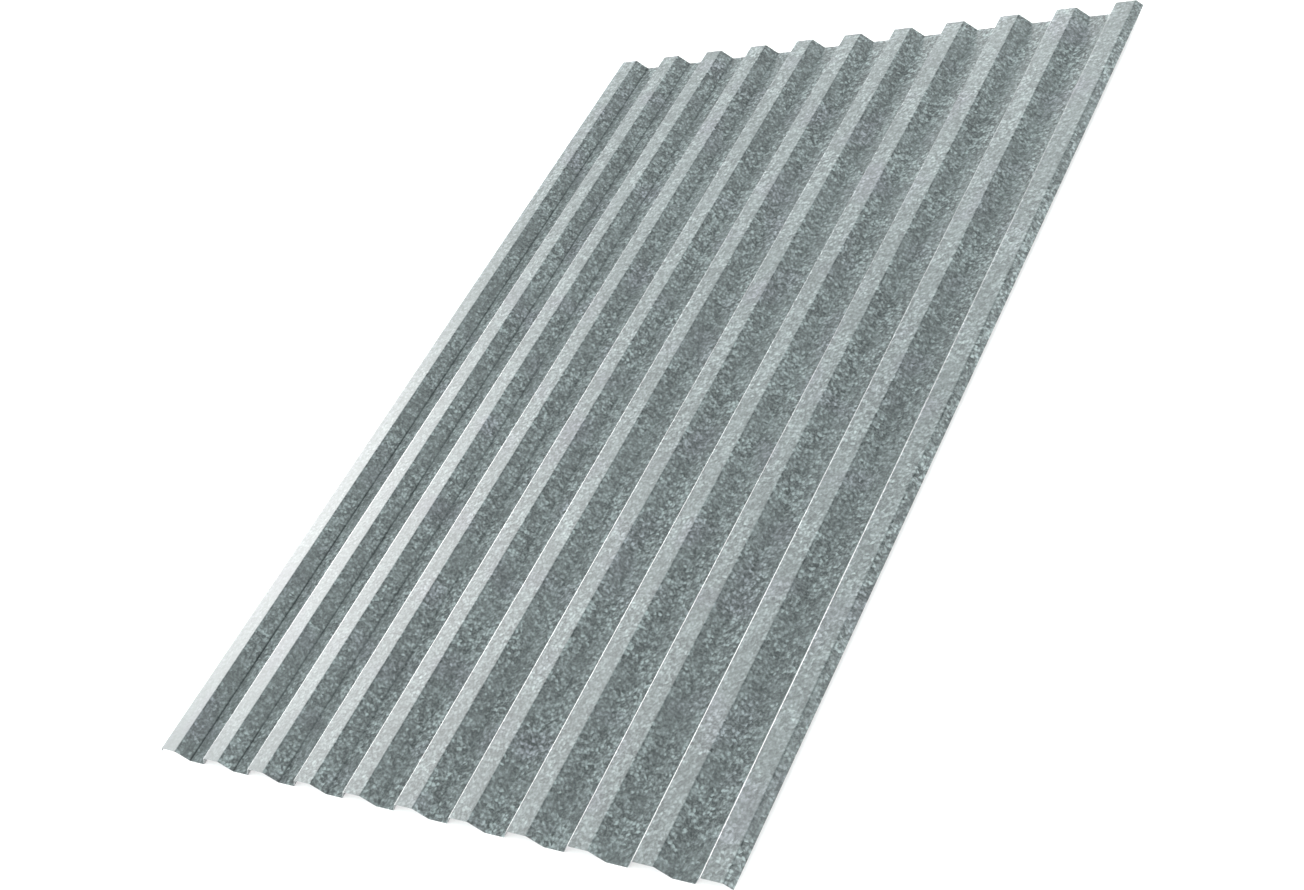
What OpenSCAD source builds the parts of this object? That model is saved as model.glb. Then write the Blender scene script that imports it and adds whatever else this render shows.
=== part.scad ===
// Trapezoidal corrugated sheet: one strip of galvanized steel, roll formed into
// parallel flat-topped ribs, with a part web along each long edge for the side lap.
// The ribs run along Y, the sheet is centred on X and Y, and its valleys lie on Z = 0.

/* [Sheet] */
// Length of the sheet along its ribs
sheet_length = 1600; // [500:50:3000]
// Thickness of the steel with its zinc coating
sheet_thickness = 0.5; // [0.4:0.05:1]

/* [Ribs] */
// Number of ribs across the sheet
rib_count = 11; // [2:1:16]
// Distance from the middle of one rib to the middle of the next
rib_pitch = 100; // [90:5:160]
// Height from the underside of the valleys to the top of the ribs
profile_height = 21; // [14:1:40]
// Width of a rib's flat top, measured between its sharp corners
rib_top_width = 33; // [25:1:45]
// Horizontal run of a sloping web, measured between the same sharp corners
web_run = 17; // [8:1:20]

/* [Bends and edges] */
// Inside radius of every bend
bend_radius = 2; // [0.5:0.5:3]
// Horizontal run of the part web that ends each long edge
edge_run = 9; // [4:1:12]

/* [Hidden] */
$fn = 96;

// Heights of the middle of the steel in the valleys and on the ribs.
valley_z = sheet_thickness / 2;
rib_z = profile_height - sheet_thickness / 2;

web_angle = atan((rib_z - valley_z) / web_run);
edge_length = edge_run / cos(web_angle);
mid_radius = bend_radius + sheet_thickness / 2;

// A bend's circle reaches this far past its flats, so that the two always cross.
overlap = 0.001;

first_rib_x = -rib_pitch * (rib_count - 1) / 2;

// The sliver between a sharp corner and the arc that rounds it off. The arc is centred
// on the origin and turns from a flat above it to a web on its right.
module corner_sliver(radius) {
    reach = 1.5 * radius;
    difference() {
        polygon([
            [0, 0],
            [0, reach],
            [reach * tan(web_angle / 2), reach],
            [reach * sin(web_angle), reach * cos(web_angle)]
        ]);
        circle(radius + overlap);
    }
}

// Everything under one rib and half of the valley at each side of it, up to the surface
// that lies `rise` above the middle of the steel. It reaches `margin` past the middle of
// each valley and below its floor, so that neighbours share a strip of valley.
module under_rib(rise, margin) {
    top_x = rib_top_width / 2 + rise * tan(web_angle / 2);
    foot_x = top_x + web_run;
    side_x = rib_pitch / 2 + margin;
    base_z = -margin;
    outer_radius = mid_radius + rise;
    inner_radius = mid_radius - rise;
    difference() {
        union() {
            polygon([
                [-side_x, base_z],
                [-side_x, valley_z + rise],
                [-foot_x, valley_z + rise],
                [-top_x, rib_z + rise],
                [top_x, rib_z + rise],
                [foot_x, valley_z + rise],
                [side_x, valley_z + rise],
                [side_x, base_z]
            ]);
            for (side = [0, 1])
                mirror([side, 0])
                    translate([
                        foot_x + inner_radius * tan(web_angle / 2),
                        valley_z + rise + inner_radius
                    ])
                        rotate(180)
                            corner_sliver(inner_radius);
        }
        for (side = [0, 1])
            mirror([side, 0])
                translate([
                    top_x - outer_radius * tan(web_angle / 2),
                    rib_z + rise - outer_radius
                ])
                    corner_sliver(outer_radius);
    }
}

// What the slitting knife takes off beyond the end of an edge web, square to the web.
module beyond_edge() {
    translate([rib_top_width / 2, rib_z])
        rotate(-web_angle)
            translate([edge_length, -rib_pitch])
                square(2 * rib_pitch);
}

// The steel of one rib and of half of the valley at each side of it.
module rib(left_is_edge, right_is_edge) {
    difference() {
        under_rib(sheet_thickness / 2, 1);
        under_rib(-sheet_thickness / 2, 2);
        if (left_is_edge)
            mirror([1, 0])
                beyond_edge();
        if (right_is_edge)
            beyond_edge();
    }
}

// The whole cross section, seen along the ribs.
module section() {
    for (i = [0 : rib_count - 1])
        translate([first_rib_x + i * rib_pitch, 0])
            rib(i == 0, i == rib_count - 1);
}

module corrugated_sheet() {
    color([0.62, 0.66, 0.66])
        rotate([90, 0, 0])
            linear_extrude(sheet_length, center = true)
                section();
}

corrugated_sheet();
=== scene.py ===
"""The looks of a trapezoidal corrugated sheet of spangled, galvanized steel.

The sheet lies on a pale studio floor. Lengths are in metres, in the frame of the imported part:
X runs across the ribs, Y along them and Z up, with the undersides of the valleys on Z = 0.
"""

import logging
import math
from dataclasses import dataclass, field
from enum import Enum

import bpy
import numpy as np
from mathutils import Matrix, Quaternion, Vector


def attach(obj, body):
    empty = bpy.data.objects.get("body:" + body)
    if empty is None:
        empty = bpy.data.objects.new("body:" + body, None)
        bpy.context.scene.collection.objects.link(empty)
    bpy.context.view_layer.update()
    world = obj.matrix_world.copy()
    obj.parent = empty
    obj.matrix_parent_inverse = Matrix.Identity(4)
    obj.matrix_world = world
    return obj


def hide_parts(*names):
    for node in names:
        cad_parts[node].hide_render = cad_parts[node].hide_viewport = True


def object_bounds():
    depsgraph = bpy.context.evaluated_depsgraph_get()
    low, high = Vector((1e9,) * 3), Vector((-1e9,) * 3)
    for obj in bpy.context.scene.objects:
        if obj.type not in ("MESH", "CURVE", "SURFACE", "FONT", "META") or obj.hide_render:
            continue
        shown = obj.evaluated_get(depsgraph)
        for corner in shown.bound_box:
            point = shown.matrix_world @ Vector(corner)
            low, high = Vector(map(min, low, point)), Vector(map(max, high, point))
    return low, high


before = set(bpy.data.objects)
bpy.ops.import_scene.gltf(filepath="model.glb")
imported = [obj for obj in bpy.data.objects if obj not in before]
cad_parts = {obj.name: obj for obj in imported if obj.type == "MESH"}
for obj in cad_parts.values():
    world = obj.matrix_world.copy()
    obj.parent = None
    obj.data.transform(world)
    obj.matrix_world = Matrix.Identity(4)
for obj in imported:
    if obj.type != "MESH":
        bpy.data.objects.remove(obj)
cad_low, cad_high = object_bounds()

SHEET_NODE = "corrugated_sheet"
STRIP_MAP = "strip"

Socket = bpy.types.NodeSocket
Feed = Socket | float | tuple[float, ...]
Span = tuple[float, float]
Place = tuple[float, float, float]
Colour = tuple[float, float, float, float]

log = logging.getLogger("corrugated_sheet")


class Face(Enum):
    """The two faces of the steel, by the side of its middle that each lies on."""

    UPPER = 1
    UNDER = -1


class Surface(Enum):
    """The finish that a polygon of the sheet takes, as the index of its material."""

    ZINC = 0
    CUT_EDGE = 1


class NodeGraph:
    """A material's node tree, with short calls that add nodes and join them."""

    def __init__(self, name: str) -> None:
        """Starts an empty node material.

        Args:
            name: The material's name.
        """
        self.material = bpy.data.materials.new(name)
        self.material.use_nodes = True
        self.tree = self.material.node_tree
        self.tree.nodes.clear()

    def add(self, kind: str, **settings: object) -> bpy.types.Node:
        """Adds a node.

        Args:
            kind: The node's Blender type, without the leading "ShaderNode".
            **settings: Properties of the node and their values.

        Returns:
            The new node.
        """
        node = self.tree.nodes.new("ShaderNode" + kind)
        for key, value in settings.items():
            setattr(node, key, value)
        return node

    def join(self, source: Feed, socket: Socket) -> None:
        """Feeds a socket from another socket, or sets it to a constant.

        Args:
            source: An output socket, a number, or a sequence of numbers.
            socket: The input socket to feed.
        """
        if isinstance(source, Socket):
            self.tree.links.new(source, socket)
        else:
            socket.default_value = source

    def math(self, operation: str, *values: Feed, clamp: bool = False) -> Socket:
        """Adds a math node.

        Args:
            operation: Blender's name for the operation.
            *values: Its operands, as sockets or numbers.
            clamp: Whether the result is held between 0 and 1.

        Returns:
            The node's result.
        """
        node = self.add("Math", operation=operation, use_clamp=clamp)
        for value, socket in zip(values, node.inputs):
            self.join(value, socket)
        return node.outputs[0]

    def remap(
        self,
        value: Feed,
        source: Span,
        target: tuple[Feed, Feed] = (0.0, 1.0),
        smooth: bool = False,
    ) -> Socket:
        """Maps a value from one span to another, and holds it inside the second.

        Args:
            value: The value to map.
            source: The start and the end of the span it comes from.
            target: The results at that start and that end.
            smooth: Whether the change eases in and out.

        Returns:
            The mapped value.
        """
        kind = "SMOOTHSTEP" if smooth else "LINEAR"
        node = self.add("MapRange", interpolation_type=kind, clamp=True)
        for number, socket in zip((value, *source, *target), node.inputs):
            self.join(number, socket)
        return node.outputs[0]

    def noise(self, at: Socket, size: float, detail: float = 2.0) -> bpy.types.Node:
        """Adds a flat noise texture.

        Args:
            at: The coordinates to read it at, in metres.
            size: The size of its largest spots, in metres.
            detail: How many finer octaves it adds.

        Returns:
            The texture node, whose first output is a value and whose second is a colour.
        """
        node = self.add("TexNoise", noise_dimensions="2D")
        self.join(at, node.inputs["Vector"])
        node.inputs["Scale"].default_value = 1 / size
        node.inputs["Detail"].default_value = detail
        return node

    def patches(self, at: Socket, size: float, span: Span, detail: float = 2.0) -> Socket:
        """Adds soft patches, made from a noise texture.

        Args:
            at: The coordinates to read them at, in metres.
            size: The size of the largest patches, in metres.
            span: The values of the noise at which they are 0 and 1.
            detail: How many finer octaves they have.

        Returns:
            The patches, from 0 to 1.
        """
        return self.remap(self.noise(at, size, detail).outputs[0], span)

    def blend(self, share: Feed, first: Feed, second: Feed, how: str = "MIX") -> Socket:
        """Mixes two colours.

        Args:
            share: How much of the second colour there is, from 0 to 1.
            first: The first colour.
            second: The second colour.
            how: Blender's name for the way of mixing.

        Returns:
            The mixed colour.
        """
        node = self.add("Mix", data_type="RGBA", blend_type=how)
        self.join(share, node.inputs["Factor"])
        self.join(first, node.inputs["A"])
        self.join(second, node.inputs["B"])
        return node.outputs["Result"]


@dataclass
class SectionPoint:
    """A point on the middle of the steel, seen along the ribs.

    The tilt is the strip's slope there, and the run is the length of strip before it.
    """

    x: float
    z: float
    tilt: float
    run: float


@dataclass
class RolledProfile:
    """The cross section that the rolls give the strip.

    Widths and runs are between the sharp corners of the middle of the steel. An offset is
    measured along the strip, from the middle of a valley.
    """

    thickness: float = 0.0005
    rib_count: int = 11
    rib_pitch: float = 0.1
    rib_top_width: float = 0.033
    web_run: float = 0.017
    bend_radius: float = 0.002
    edge_run: float = 0.009
    height: float = cad_high.z - cad_low.z
    bend_steps: int = 6
    flat_steps: int = 3
    collar: float = 0.0008
    rise: float = field(init=False)
    web_angle: float = field(init=False)
    web_length: float = field(init=False)
    edge_length: float = field(init=False)
    middle_radius: float = field(init=False)
    setback: float = field(init=False)
    valley_width: float = field(init=False)
    strip_pitch: float = field(init=False)
    crease_offset: float = field(init=False)
    shoulder_offset: float = field(init=False)
    valley_middle: float = field(init=False)

    def __post_init__(self) -> None:
        """Works out the slopes, the bends and where they lie along the strip."""
        self.rise = self.height - self.thickness
        self.web_angle = math.atan2(self.rise, self.web_run)
        self.web_length = math.hypot(self.rise, self.web_run)
        self.middle_radius = self.bend_radius + self.thickness / 2
        self.setback = self.middle_radius * math.tan(self.web_angle / 2)
        self.valley_width = self.rib_pitch - self.rib_top_width - 2 * self.web_run
        self.edge_length = self.edge_run / math.cos(self.web_angle)
        bend = self.middle_radius * self.web_angle
        top_flat = self.rib_top_width - 2 * self.setback
        web_flat = self.web_length - 2 * self.setback
        valley_flat = self.valley_width - 2 * self.setback
        self.strip_pitch = top_flat + valley_flat + 2 * web_flat + 4 * bend
        self.crease_offset = (valley_flat + bend) / 2
        self.shoulder_offset = (self.strip_pitch - top_flat - bend) / 2
        first_foot = self.edge_length - self.setback + 2 * bend + top_flat + web_flat
        self.valley_middle = first_foot + bend + valley_flat / 2

    def points(self) -> list[SectionPoint]:
        """Walks along the middle of the steel from the left edge to the right one.

        Returns:
            The points of the section, in order.
        """
        path = [SectionPoint(0.0, 0.0, self.web_angle, 0.0)]
        self.add_flat(path, self.edge_length - self.setback)
        for rib in range(self.rib_count):
            self.add_bend(path, -self.web_angle)
            self.add_flat(path, self.rib_top_width - 2 * self.setback)
            self.add_bend(path, -self.web_angle)
            if rib == self.rib_count - 1:
                break
            self.add_flat(path, self.web_length - 2 * self.setback)
            self.add_bend(path, self.web_angle)
            self.add_flat(path, self.valley_width - 2 * self.setback)
            self.add_bend(path, self.web_angle)
            self.add_flat(path, self.web_length - 2 * self.setback)
        self.add_flat(path, self.edge_length - self.setback)
        middle = path[-1].x / 2
        top = max(point.z for point in path)
        rib_z = self.height - self.thickness / 2
        return [
            SectionPoint(point.x - middle, point.z - top + rib_z, point.tilt, point.run)
            for point in path
        ]

    def add_flat(self, path: list[SectionPoint], length: float) -> None:
        """Adds a straight stretch, with a point close to each of its ends.

        Args:
            path: The section so far, which it is added to.
            length: The length of the stretch.
        """
        start = path[-1]
        inner = np.linspace(self.collar, length - self.collar, self.flat_steps + 1)
        for along in [*inner, length]:
            path.append(
                SectionPoint(
                    start.x + along * math.cos(start.tilt),
                    start.z + along * math.sin(start.tilt),
                    start.tilt,
                    start.run + along,
                )
            )

    def add_bend(self, path: list[SectionPoint], turn: float) -> None:
        """Adds an arc that turns the strip.

        Args:
            path: The section so far, which it is added to.
            turn: The angle that it turns through, in radians, positive to the left.
        """
        start = path[-1]
        radius = math.copysign(self.middle_radius, turn)
        for angle in np.linspace(0.0, turn, self.bend_steps + 1)[1:]:
            tilt = start.tilt + angle
            path.append(
                SectionPoint(
                    start.x + radius * (math.sin(tilt) - math.sin(start.tilt)),
                    start.z - radius * (math.cos(tilt) - math.cos(start.tilt)),
                    tilt,
                    start.run + abs(angle) * self.middle_radius,
                )
            )


@dataclass(frozen=True)
class StripSpot:
    """Where a spot of the surface lies on the unrolled strip, as sockets of a node tree."""

    point: Socket
    across: Socket
    along: Socket
    from_valley: Socket


@dataclass(frozen=True)
class GalvanizedZinc:
    """Hot-dipped zinc: a dull mosaic of small crystals under a thin, clear passivated skin.

    A brightness from 0 to 1 drives the colour, the roughness, the relief and the skin. A span
    of noise holds the values of the noise that become 0 and 1.
    """

    # The crystals, with paler hearts, and the finer flecks on them.
    grain: float = 0.0056
    wobble: float = 0.5
    heart: Span = (0.1, 0.65)
    heart_tones: Span = (1.0, 0.4)
    crystal_curve: float = 1.1
    crystal_share: float = 0.78
    fleck: float = 0.0037
    fleck_span: Span = (0.35, 0.85)
    fleck_share: float = 0.52
    spot_middle: float = 0.41

    # How the whole finish drifts along and across the strip.
    level: float = 0.35
    drift: float = 0.05
    cloud: float = 0.07
    cloud_span: Span = (0.36, 0.64)
    cast: float = 0.25
    cast_span: Span = (0.3, 0.7)
    contrast: float = 0.8
    cloud_contrast: float = 0.48
    stain: float = 0.09
    stain_span: Span = (0.58, 0.8)

    # The tops of the ribs, rubbed smoother by the forming rolls and painted a little paler as
    # painted light.
    rub_edge: float = 0.0015
    burnished: float = 0.64
    painted_top_light: float = 0.025

    # Painted glare: near one corner of the sheet the grain is calmed, most of all on the tops, as
    # glare washes it out.
    glare_reach: float = 0.45
    glare_far: float = 0.6
    glare_contrast: float = 0.75
    glare_top: float = 0.12

    # The metal.
    dark: Colour = (0.0, 0.008, 0.01, 1.0)
    pale: Colour = (0.665, 0.705, 0.705, 1.0)
    violet: Colour = (1.0, 0.94, 1.0, 1.0)
    roughness: Span = (0.92, 1.0)
    relief: float = 0.000003

    # The skin, which is scuffed on the shoulders of the ribs.
    skin_cover: Span = (1.0, 0.85)
    skin_roughness: float = 0.5
    skin_ior: float = 2.06
    scuff_width: float = 0.0024
    scuffed: float = 0.45

    # Painted shade: a dark line in the creases at the feet of the webs, which fades out across the
    # sheet and thins along it.
    crease_shade_colour: Colour = (0.05, 0.055, 0.055, 1.0)
    crease_shade_width: float = 0.0034
    crease_shade_reach: float = 0.76
    crease_shade_far: float = 0.6
    crease_shade_patch: Span = (0.3, 0.6)
    crease_shade_patch_depth: Span = (0.6, 1.0)

    def build(self, profile: RolledProfile) -> bpy.types.Material:
        """Makes the zinc's material.

        Args:
            profile: The section that the sheet is rolled to.

        Returns:
            The material.
        """
        graph = NodeGraph("galvanized_zinc")
        spot = self.locate(graph, profile)
        brightness = self.brightness(graph, spot, profile)
        # Painted shade in the creases at the feet of the webs.
        crease_shade = self.crease_shade(graph, spot, profile)
        shader = graph.add("BsdfPrincipled")
        graph.join(self.colour(graph, spot, brightness, crease_shade), shader.inputs["Base Color"])
        shader.inputs["Metallic"].default_value = 1.0
        rough = graph.remap(brightness, (0.0, 1.0), self.roughness)
        graph.join(rough, shader.inputs["Roughness"])
        bump = graph.add("Bump")
        bump.inputs["Distance"].default_value = self.relief
        graph.join(brightness, bump.inputs["Height"])
        graph.join(bump.outputs[0], shader.inputs["Normal"])
        skin = self.skin(graph, spot, profile, brightness, crease_shade)
        graph.join(skin, shader.inputs["Coat Weight"])
        shader.inputs["Coat Roughness"].default_value = self.skin_roughness
        shader.inputs["Coat IOR"].default_value = self.skin_ior
        output = graph.add("OutputMaterial")
        graph.join(shader.outputs[0], output.inputs[0])
        return graph.material

    def locate(self, graph: NodeGraph, profile: RolledProfile) -> StripSpot:
        """Works out where each spot of the surface lies on the strip.

        Args:
            graph: The node tree to add to.
            profile: The section that the sheet is rolled to.

        Returns:
            The spot's coordinates, and its distance to the nearest valley's middle.
        """
        point = graph.add("UVMap", uv_map=STRIP_MAP).outputs[0]
        parts = graph.add("SeparateXYZ")
        graph.join(point, parts.inputs[0])
        across = parts.outputs["X"]
        offset = graph.math("SUBTRACT", across, profile.valley_middle)
        half = profile.strip_pitch / 2
        from_valley = graph.math("ABSOLUTE", graph.math("WRAP", offset, -half, half))
        return StripSpot(point, across, parts.outputs["Y"], from_valley)

    def bent_point(self, graph: NodeGraph, spot: StripSpot) -> Socket:
        """Bends the strip's coordinates a little, so that no grain has straight sides.

        Args:
            graph: The node tree to add to.
            spot: Where each spot lies on the strip.

        Returns:
            The bent coordinates.
        """
        wobble = graph.noise(spot.point, self.grain, detail=1.0).outputs["Color"]
        centred = graph.add("VectorMath", operation="SUBTRACT")
        graph.join(wobble, centred.inputs[0])
        graph.join((0.5, 0.5, 0.5), centred.inputs[1])
        shift = graph.add("VectorMath", operation="MULTIPLY_ADD")
        graph.join(centred.outputs[0], shift.inputs[0])
        graph.join((self.grain * self.wobble,) * 3, shift.inputs[1])
        graph.join(spot.point, shift.inputs[2])
        return shift.outputs[0]

    def spangle(self, graph: NodeGraph, at: Socket) -> Socket:
        """Makes the crystals and their flecks.

        Args:
            graph: The node tree to add to.
            at: The bent coordinates.

        Returns:
            How much paler or darker than usual each spot is.
        """
        crystals = graph.add("TexVoronoi", voronoi_dimensions="2D", feature="F1")
        graph.join(at, crystals.inputs["Vector"])
        crystals.inputs["Scale"].default_value = 1 / self.grain
        tone = graph.add("SeparateColor")
        graph.join(crystals.outputs["Color"], tone.inputs[0])
        crystal = graph.math("POWER", tone.outputs[0], self.crystal_curve)
        heart = graph.remap(crystals.outputs["Distance"], self.heart, self.heart_tones)
        crystal = graph.math("MULTIPLY", crystal, heart)
        flecks = graph.patches(at, self.fleck, self.fleck_span, detail=1.0)
        spots = graph.math("MULTIPLY_ADD", crystal, self.crystal_share, -self.spot_middle)
        return graph.math("MULTIPLY_ADD", flecks, self.fleck_share, spots)

    def brightness(self, graph: NodeGraph, spot: StripSpot, profile: RolledProfile) -> Socket:
        """Works out how bright each spot of the zinc is.

        Args:
            graph: The node tree to add to.
            spot: Where each spot lies on the strip.
            profile: The section that the sheet is rolled to.

        Returns:
            The brightness, from 0 to 1.
        """
        spots = self.spangle(graph, self.bent_point(graph, spot))
        cloud = graph.patches(spot.point, self.cloud, self.cloud_span)
        cast = graph.patches(spot.point, self.cast, self.cast_span)
        rib_tops = self.rib_tops(graph, spot, profile)
        # Painted glare: the grain is calmed near one corner of the sheet, most of all on the tops.
        glare_calm = self.glare_calm(graph, spot)
        contrast = graph.math("MULTIPLY_ADD", cloud, self.cloud_contrast, self.contrast)
        wear_and_glare = graph.remap(glare_calm, (0.0, 1.0), (1.0, self.glare_contrast))
        contrast = graph.math("MULTIPLY", contrast, wear_and_glare)
        top = graph.remap(glare_calm, (0.0, 1.0), (self.burnished, self.glare_top))
        smoother = graph.remap(rib_tops, (0.0, 1.0), (1.0, top))
        contrast = graph.math("MULTIPLY", contrast, smoother)
        total = graph.math("MULTIPLY_ADD", spots, contrast, self.level)
        total = graph.math("MULTIPLY_ADD", cloud, self.drift, total)
        total = graph.math("MULTIPLY_ADD", cast, self.drift, total)
        # Painted light: the tops of the ribs are painted a little paler than the valleys.
        return graph.math("MULTIPLY_ADD", rib_tops, self.painted_top_light, total, clamp=True)

    def glare_calm(self, graph: NodeGraph, spot: StripSpot) -> Socket:
        """Works out where the grain is calmed as painted glare: near one corner of the sheet.

        Args:
            graph: The node tree to add to.
            spot: Where each spot lies on the strip.

        Returns:
            The painted glare, from 0 to 1.
        """
        across = graph.remap(spot.across, (0.0, self.glare_reach), (1.0, 0.0))
        along = graph.remap(spot.along, (cad_low.y, self.glare_far), (1.0, 0.0))
        return graph.math("MULTIPLY", across, along)

    def rib_tops(self, graph: NodeGraph, spot: StripSpot, profile: RolledProfile) -> Socket:
        """Works out where the tops of the ribs are, which the rolls rubbed smoother and which are
        painted paler.

        Args:
            graph: The node tree to add to.
            spot: Where each spot lies on the strip.
            profile: The section that the sheet is rolled to.

        Returns:
            How much of each spot is rib top, from 0 to 1.
        """
        shoulder = profile.shoulder_offset
        edge = (shoulder - self.rub_edge, shoulder + self.rub_edge)
        return graph.remap(spot.from_valley, edge, smooth=True)

    def near_bend(self, graph: NodeGraph, spot: StripSpot, offset: float, width: float) -> Socket:
        """Works out how near each spot is to the bends of one kind.

        Args:
            graph: The node tree to add to.
            spot: Where each spot lies on the strip.
            offset: How far along the strip those bends are from the middle of a valley.
            width: How far from a bend's middle the result falls to nothing.

        Returns:
            The nearness, which is 1 in the middle of a bend and 0 away from it.
        """
        distance = graph.math("ABSOLUTE", graph.math("SUBTRACT", spot.from_valley, offset))
        return graph.remap(distance, (0.0, width), (1.0, 0.0), smooth=True)

    def crease_shade(self, graph: NodeGraph, spot: StripSpot, profile: RolledProfile) -> Socket:
        """Works out where shade is painted: in the creases at the feet of the webs.

        Args:
            graph: The node tree to add to.
            spot: Where each spot lies on the strip.
            profile: The section that the sheet is rolled to.

        Returns:
            The painted shade, from 0 to 1.
        """
        depth = self.near_bend(graph, spot, profile.crease_offset, self.crease_shade_width)
        noise = graph.noise(spot.point, self.cloud, detail=3.0).outputs[0]
        patchy = graph.remap(noise, self.crease_shade_patch, self.crease_shade_patch_depth)
        depth = graph.math("MULTIPLY", depth, patchy)
        fade = graph.remap(spot.across, (0.0, self.crease_shade_reach), (1.0, 0.0))
        ends = (cad_low.y, cad_high.y)
        end_fade = graph.remap(spot.along, ends, (1.0, self.crease_shade_far))
        return graph.math("MULTIPLY", graph.math("MULTIPLY", depth, fade), end_fade)

    def colour(
        self, graph: NodeGraph, spot: StripSpot, brightness: Socket, crease_shade: Socket
    ) -> Socket:
        """Colours the metal, with faint violet stains, and paints shade into the creases.

        Args:
            graph: The node tree to add to.
            spot: Where each spot lies on the strip.
            brightness: How bright each spot is.
            crease_shade: How much shade is painted on it.

        Returns:
            The colour.
        """
        clean = graph.blend(brightness, self.dark, self.pale)
        stain = graph.patches(spot.point, self.stain, self.stain_span, detail=1.0)
        tinted = graph.blend(stain, clean, self.violet, how="MULTIPLY")
        # Painted shade: the creases are darkened towards a near-black colour.
        return graph.blend(crease_shade, tinted, self.crease_shade_colour)

    def skin(
        self,
        graph: NodeGraph,
        spot: StripSpot,
        profile: RolledProfile,
        brightness: Socket,
        crease_shade: Socket,
    ) -> Socket:
        """Works out how much of the clear skin covers each spot.

        Args:
            graph: The node tree to add to.
            spot: Where each spot lies on the strip.
            profile: The section that the sheet is rolled to.
            brightness: How bright each spot is.
            crease_shade: How much shade is painted on it.

        Returns:
            The skin's cover, from 0 to 1.
        """
        cover = graph.remap(brightness, (0.0, 1.0), self.skin_cover)
        # The clear skin is thinned where shade is painted in the creases.
        cover = graph.math("MULTIPLY", cover, graph.math("SUBTRACT", 1.0, crease_shade))
        shoulder = self.near_bend(graph, spot, profile.shoulder_offset, self.scuff_width)
        unscuffed = graph.remap(shoulder, (0.0, 1.0), (1.0, 1.0 - self.scuffed))
        return graph.math("MULTIPLY", cover, unscuffed)


@dataclass(frozen=True)
class CutSteel:
    """A sheared edge, where the zinc stops and the bright core of the steel shows."""

    colour: Colour = (0.55, 0.56, 0.56, 1.0)
    wear_and_glare: float = 0.7
    streak: float = 0.004
    colour_span: Span = (0.35, 0.65)
    roughness_span: Span = (0.3, 0.7)
    roughness: Span = (0.52, 0.32)

    def build(self) -> bpy.types.Material:
        """Makes the cut edge's material.

        Returns:
            The material.
        """
        graph = NodeGraph("cut_steel")
        strip = graph.add("UVMap", uv_map=STRIP_MAP).outputs[0]
        streaks = graph.noise(strip, self.streak).outputs[0]
        wear_and_glare = tuple(self.wear_and_glare * value for value in self.colour[:3]) + (1.0,)
        shader = graph.add("BsdfPrincipled")
        tint = graph.blend(graph.remap(streaks, self.colour_span), wear_and_glare, self.colour)
        graph.join(tint, shader.inputs["Base Color"])
        shader.inputs["Metallic"].default_value = 1.0
        rough = graph.remap(streaks, self.roughness_span, self.roughness)
        graph.join(rough, shader.inputs["Roughness"])
        output = graph.add("OutputMaterial")
        graph.join(shader.outputs[0], output.inputs[0])
        return graph.material


@dataclass(frozen=True)
class MattPaper:
    """A seamless pale floor."""

    colour: Colour = (0.97, 0.94, 0.94, 1.0)
    roughness: float = 0.9
    shine: float = 0.2

    def build(self) -> bpy.types.Material:
        """Makes the floor's material.

        Returns:
            The material.
        """
        graph = NodeGraph("matt_paper")
        shader = graph.add("BsdfPrincipled")
        shader.inputs["Base Color"].default_value = self.colour
        shader.inputs["Roughness"].default_value = self.roughness
        shader.inputs["Specular IOR Level"].default_value = self.shine
        output = graph.add("OutputMaterial")
        graph.join(shader.outputs[0], output.inputs[0])
        return graph.material


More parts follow.
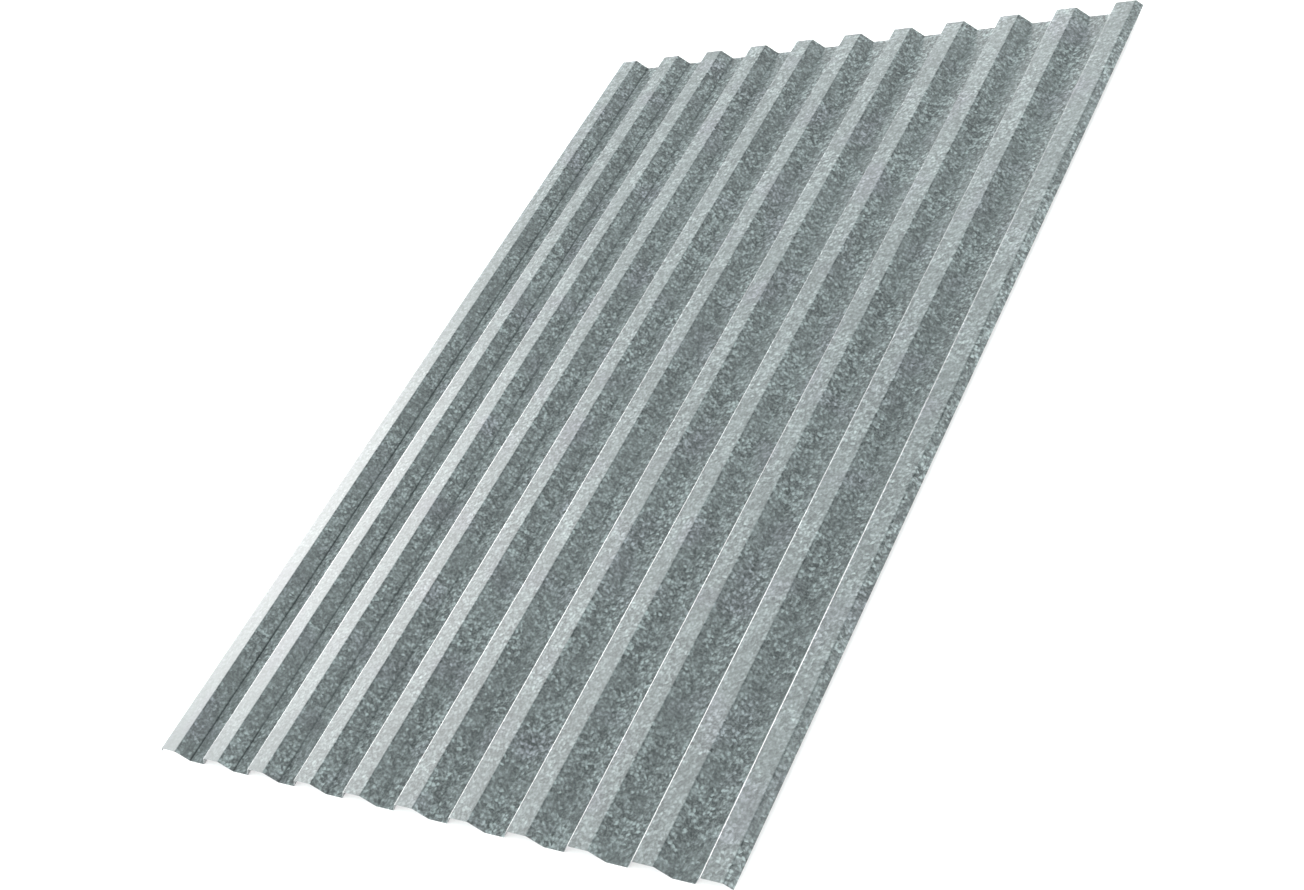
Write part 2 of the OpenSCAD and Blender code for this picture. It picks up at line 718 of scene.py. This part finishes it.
@dataclass
class CorrugatedSheet:
    """The sheet itself, one strip of steel with two faces and sheared edges.

    The under offset shifts the finish of the underside, in widths of the strip, so that the
    two faces don't share one pattern. The waves are the slight unevenness of rolled steel.
    """

    profile: RolledProfile = field(default_factory=RolledProfile)
    length: float = cad_high.y - cad_low.y
    rows: int = 64
    zinc: GalvanizedZinc = field(default_factory=GalvanizedZinc)
    cut: CutSteel = field(default_factory=CutSteel)
    under_offset: float = 1.5
    waviness: float = 0.00018
    waves: int = 9
    wave_seed: int = 7
    wave_width: Span = (0.25, 0.9)
    wave_length: Span = (0.12, 0.5)
    wave_slant: Span = (-2.0, 2.0)

    def build(self) -> bpy.types.Object:
        """Builds the sheet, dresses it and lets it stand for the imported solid.

        Returns:
            The sheet.
        """
        mesh = self.mesh()
        mesh.materials.append(self.zinc.build(self.profile))
        mesh.materials.append(self.cut.build())
        sheet = bpy.data.objects.new("galvanized_sheet", mesh)
        bpy.context.scene.collection.objects.link(sheet)
        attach(sheet, "root")
        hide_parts(SHEET_NODE)
        return sheet

    def mesh(self) -> bpy.types.Mesh:
        """Makes the mesh of both faces and the four cut edges.

        Returns:
            The mesh, with the map of the unrolled strip.
        """
        points = self.profile.points()
        lengthwise = np.linspace(-self.length / 2, self.length / 2, self.rows + 1)
        upper = self.face_grid(points, lengthwise, Face.UPPER)
        under = self.face_grid(points, lengthwise, Face.UNDER)
        run = np.array([point.run for point in points])
        strip = np.stack(np.meshgrid(run, lengthwise), axis=-1)
        patches = [
            (upper, strip, Surface.ZINC),
            (under[:, ::-1], strip[:, ::-1] + (self.under_offset * run[-1], 0.0), Surface.ZINC),
        ]
        for edge in (np.s_[:1, ::-1], np.s_[-1:, :], np.s_[:, :1], np.s_[::-1, -1:]):
            rim = np.stack([upper[edge].reshape(-1, 3), under[edge].reshape(-1, 3)])
            places = strip[edge].reshape(-1, 2)
            across = np.stack([places, places + self.profile.thickness])
            patches.append((rim, across, Surface.CUT_EDGE))
        return self.join_patches(patches)

    def join_patches(self, patches: list[tuple[np.ndarray, np.ndarray, Surface]]) -> bpy.types.Mesh:
        """Joins grids of vertices into one mesh, with a crisp edge where two of them meet.

        No two grids share a vertex, which is what keeps the edges between them crisp.

        Args:
            patches: The places, the strip coordinates and the finish of each grid.

        Returns:
            The mesh.
        """
        quads, finishes, count = [], [], 0
        for grid, _, surface in patches:
            rows, columns = grid.shape[:2]
            index = count + np.arange(rows * columns).reshape(rows, columns)
            corners = (index[:-1, :-1], index[:-1, 1:], index[1:, 1:], index[1:, :-1])
            quads.append(np.stack(corners, axis=-1).reshape(-1, 4))
            finishes.append(np.full(len(quads[-1]), surface.value, dtype=np.int32))
            count += rows * columns
        vertices = np.concatenate([grid.reshape(-1, 3) for grid, _, _ in patches])
        strip = np.concatenate([places.reshape(-1, 2) for _, places, _ in patches])
        mesh = bpy.data.meshes.new("galvanized_sheet")
        mesh.from_pydata(vertices.tolist(), [], np.concatenate(quads).tolist())
        mesh.polygons.foreach_set("material_index", np.concatenate(finishes))
        mesh.polygons.foreach_set("use_smooth", np.ones(len(mesh.polygons), dtype=bool))
        corners = np.empty(len(mesh.loops), dtype=np.int32)
        mesh.loops.foreach_get("vertex_index", corners)
        layer = mesh.uv_layers.new(name=STRIP_MAP)
        layer.uv.foreach_set("vector", strip[corners].astype(np.float32).ravel())
        mesh.update()
        return mesh

    def face_grid(
        self, points: list[SectionPoint], lengthwise: np.ndarray, face: Face
    ) -> np.ndarray:
        """Places the vertices of one face.

        Args:
            points: The section.
            lengthwise: Where the rows lie along the sheet.
            face: The face to place.

        Returns:
            An array of rows by columns by three coordinates.
        """
        x = np.array([point.x for point in points])
        z = np.array([point.z for point in points])
        tilt = np.array([point.tilt for point in points])
        half = face.value * self.profile.thickness / 2
        grid = np.empty((len(lengthwise), len(points), 3))
        grid[..., 0] = x - half * np.sin(tilt)
        grid[..., 1] = lengthwise[:, None]
        level = (z - self.profile.thickness / 2) / self.profile.rise
        grid[..., 2] = z + half * np.cos(tilt) + self.sag(x, lengthwise) * (1 - 2 * level)
        return grid

    def sag(self, x: np.ndarray, lengthwise: np.ndarray) -> np.ndarray:
        """Works out the slight unevenness that rolled steel keeps.

        Args:
            x: Where the columns lie across the sheet.
            lengthwise: Where the rows lie along it.

        Returns:
            How far the steel is off its true plane, never less than nothing.
        """
        draw = np.random.default_rng(self.wave_seed)
        turn = 2 * math.pi
        total = np.zeros((len(lengthwise), len(x)))
        for _ in range(self.waves):
            across = draw.uniform(*self.wave_width)
            along = draw.uniform(*self.wave_length)
            phase = draw.uniform(0.0, turn, 2)
            slant = draw.uniform(*self.wave_slant)
            cycles = lengthwise[:, None] / along + slant * x[None, :] / across
            wave = np.sin(turn * cycles + phase[0])
            total += wave * np.sin(turn * x[None, :] / across + phase[1])
        return self.waviness * (0.5 + 0.5 * total / self.waves)


@dataclass(frozen=True)
class SoftBox:
    """A rectangular studio lamp that shines at a point."""

    name: str
    place: Place
    width: float
    height: float
    radiance: float
    colour: tuple[float, float, float] = (1.0, 1.0, 1.0)
    target: Place = (0.0, 0.0, 0.0)

    def build(self) -> bpy.types.Object:
        """Hangs the lamp.

        Returns:
            The lamp.
        """
        lamp = bpy.data.lights.new(self.name, "AREA")
        lamp.shape = "RECTANGLE"
        lamp.size = self.width
        lamp.size_y = self.height
        lamp.energy = self.radiance * math.pi * self.width * self.height
        lamp.color = self.colour
        holder = bpy.data.objects.new(self.name, lamp)
        holder.location = self.place
        holder.visible_camera = False
        aim = Vector(self.target) - Vector(self.place)
        holder.rotation_mode = "QUATERNION"
        holder.rotation_quaternion = aim.to_track_quat("-Z", "Y")
        bpy.context.scene.collection.objects.link(holder)
        return holder


@dataclass
class Studio:
    """The floor, the lamps and the camera."""

    # The lamps, and the even light from all round.
    key: SoftBox = SoftBox("low_key", (-4.75, 1.5, 0.35), 1.9, 0.6, 212.0, (1.0, 0.965, 0.96))
    fill: SoftBox = SoftBox("far_fill", (-2.6, 6.2, 1.5), 1.5, 0.6, 29.0)
    floor_lamp: SoftBox = SoftBox("backdrop_lamp", (0.0, 0.0, 6.0), 8.0, 8.0, 1.7)
    surround: Colour = (0.885, 1.0, 1.0, 1.0)
    ambient: float = 1.18

    # The floor, a hair below the sheet.
    paper: MattPaper = field(default_factory=MattPaper)
    floor_size: float = 60.0
    floor_gap: float = 0.0002

    # The camera, with its lens and sensor in millimetres and its roll in degrees.
    eye: Place = (1.6497, -1.4724, 1.6118)
    look_at: Place = (-0.0010, -0.1957, 0.0100)
    roll: float = 34.64
    lens: float = 48.71
    sensor: float = 36.0
    shift: Span = (0.0345, 0.0161)
    far_clip: float = 100.0

    def build(self) -> bpy.types.Object:
        """Builds the studio round the sheet.

        Returns:
            The floor.
        """
        self.light()
        self.aim_camera()
        floor = self.lay_floor()
        self.light_backdrop(floor)
        return floor

    def lay_floor(self) -> bpy.types.Object:
        """Lays the floor that the sheet rests on.

        Returns:
            The floor.
        """
        half = self.floor_size / 2
        corners = [(-half, -half, 0), (half, -half, 0), (half, half, 0), (-half, half, 0)]
        mesh = bpy.data.meshes.new("floor")
        mesh.from_pydata(corners, [], [(0, 1, 2, 3)])
        mesh.materials.append(self.paper.build())
        floor = bpy.data.objects.new("floor", mesh)
        floor.location.z = cad_low.z - self.floor_gap
        bpy.context.scene.collection.objects.link(floor)
        return floor

    def light_backdrop(self, floor: bpy.types.Object) -> None:
        """Lights the floor by itself, from above, so that it stays pale.

        Args:
            floor: The floor, which is all that this lamp shines on.
        """
        lamp = self.floor_lamp.build()
        receivers = bpy.data.collections.new("backdrop")
        receivers.objects.link(floor)
        lamp.light_linking.receiver_collection = receivers
        lamp.light_linking.blocker_collection = receivers

    def light(self) -> None:
        """Hangs the lamps and sets the light that comes from all round."""
        scene = bpy.context.scene
        scene.world = bpy.data.worlds.new("studio")
        scene.world.use_nodes = True
        backdrop = scene.world.node_tree.nodes["Background"]
        backdrop.inputs["Color"].default_value = self.surround
        backdrop.inputs["Strength"].default_value = self.ambient
        scene.view_settings.view_transform = "Standard"
        self.key.build()
        self.fill.build()

    def aim_camera(self) -> None:
        """Sets up the camera."""
        scene = bpy.context.scene
        optics = bpy.data.cameras.new("camera")
        optics.sensor_width = self.sensor
        optics.lens = self.lens
        optics.shift_x, optics.shift_y = self.shift
        optics.clip_end = self.far_clip
        camera = bpy.data.objects.new("camera", optics)
        camera.location = self.eye
        aim = Vector(self.look_at) - Vector(self.eye)
        turn = Quaternion((0.0, 0.0, 1.0), -math.radians(self.roll))
        camera.rotation_mode = "QUATERNION"
        camera.rotation_quaternion = aim.to_track_quat("-Z", "Y") @ turn
        scene.collection.objects.link(camera)
        scene.camera = camera


def main() -> None:
    """Builds the sheet and the studio round it."""
    logging.basicConfig(level=logging.INFO, format="%(name)s: %(message)s")
    sheet = CorrugatedSheet().build()
    log.info("built %s with %d faces", sheet.name, len(sheet.data.polygons))
    floor = Studio().build()
    log.info("built the studio, with its %s", floor.name)


if __name__ == "__main__":
    main()
